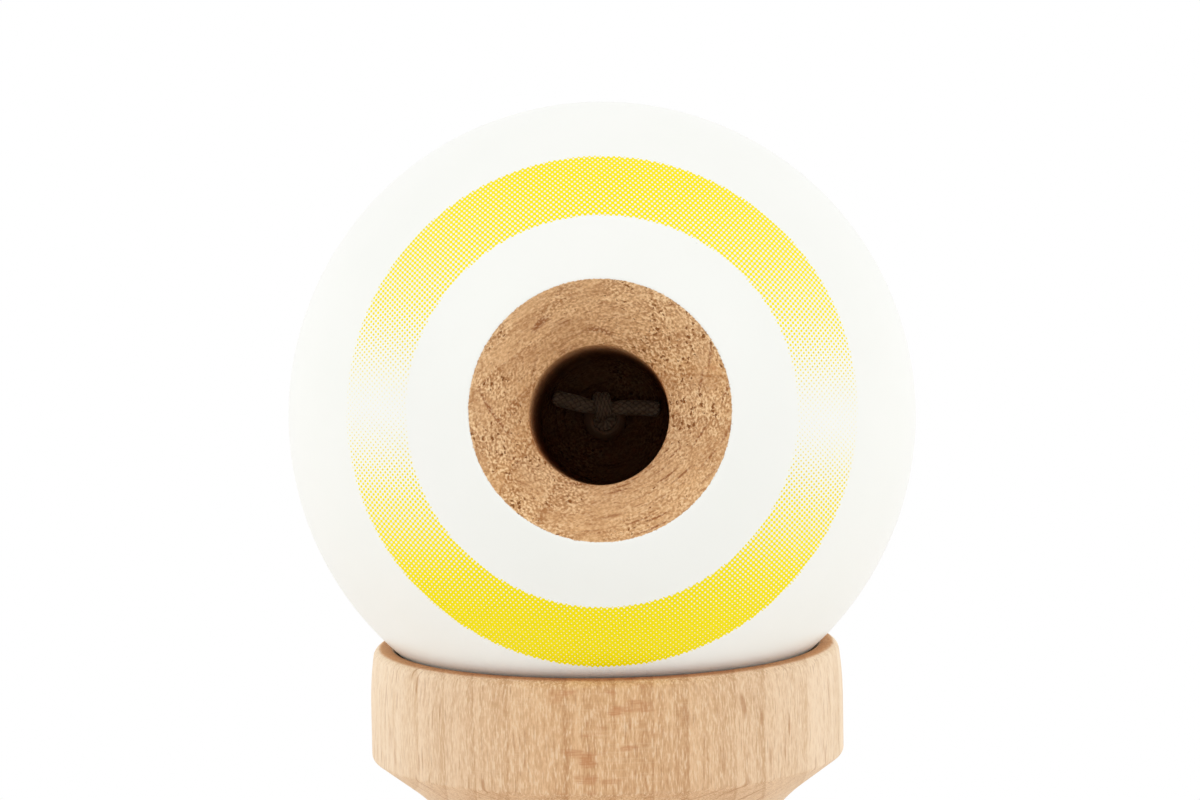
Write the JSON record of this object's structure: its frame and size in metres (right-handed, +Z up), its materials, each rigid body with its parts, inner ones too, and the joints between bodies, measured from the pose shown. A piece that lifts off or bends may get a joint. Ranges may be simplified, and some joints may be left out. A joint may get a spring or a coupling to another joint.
{
  "type": "cup and ball toy",
  "caption": "Wooden cup and ball toy: a turned handle with a spike and a base cup, a crosspiece with a cup at each end, and a drilled ball on a cord.",
  "frame": {"origin": "centre of the small cup's rim, on the surface the toy stands on", "axes": "+Z up the crosspiece's axis to the big cup, +X along the handle towards the tip of its spike, -Y the way the ball's hole looks"},
  "size_m": [0.162, 0.1066, 0.122],
  "materials": {
    "beech": "sanded and waxed",
    "white_lacquer": "satin white lacquer with a printed yellow ring, bare beech in the hole",
    "bead": "gloss",
    "cord": "braided"
  },
  "bodies": {
    "crosspiece": {"crosspiece": "beech", "cord": "cord"},
    "handle": {"handle": "beech", "handle_knot": "cord", "handle_cord": "cord"},
    "cord_end": {"stop_bead": "bead", "ball_knot": "cord", "ball_cord": "cord"},
    "bead": {"string_bead": "bead"},
    "ball": {"ball": "white_lacquer"}
  },
  "joints": [
    {"name": "ball_lift", "type": "slide", "parent": "crosspiece", "child": "cord_end", "axis": [0, 0, 1], "range_m": [0, 0.28], "deforming": ["cord"]},
    {"name": "ball_spin", "type": "hinge", "parent": "cord_end", "child": "ball", "pos_m": [0, 0, 0.09201], "axis": [0, -0.9945, 0.1045], "continuous": true},
    {"name": "bead_slide", "type": "slide", "parent": "cord_end", "child": "bead", "axis": [0, 0.9945, -0.1045], "range_m": [0, 0.004]},
    {"name": "handle_pull", "type": "slide", "parent": "crosspiece", "child": "handle", "axis": [-1, 0, 0], "range_m": [0, 0.118]}
  ]
}
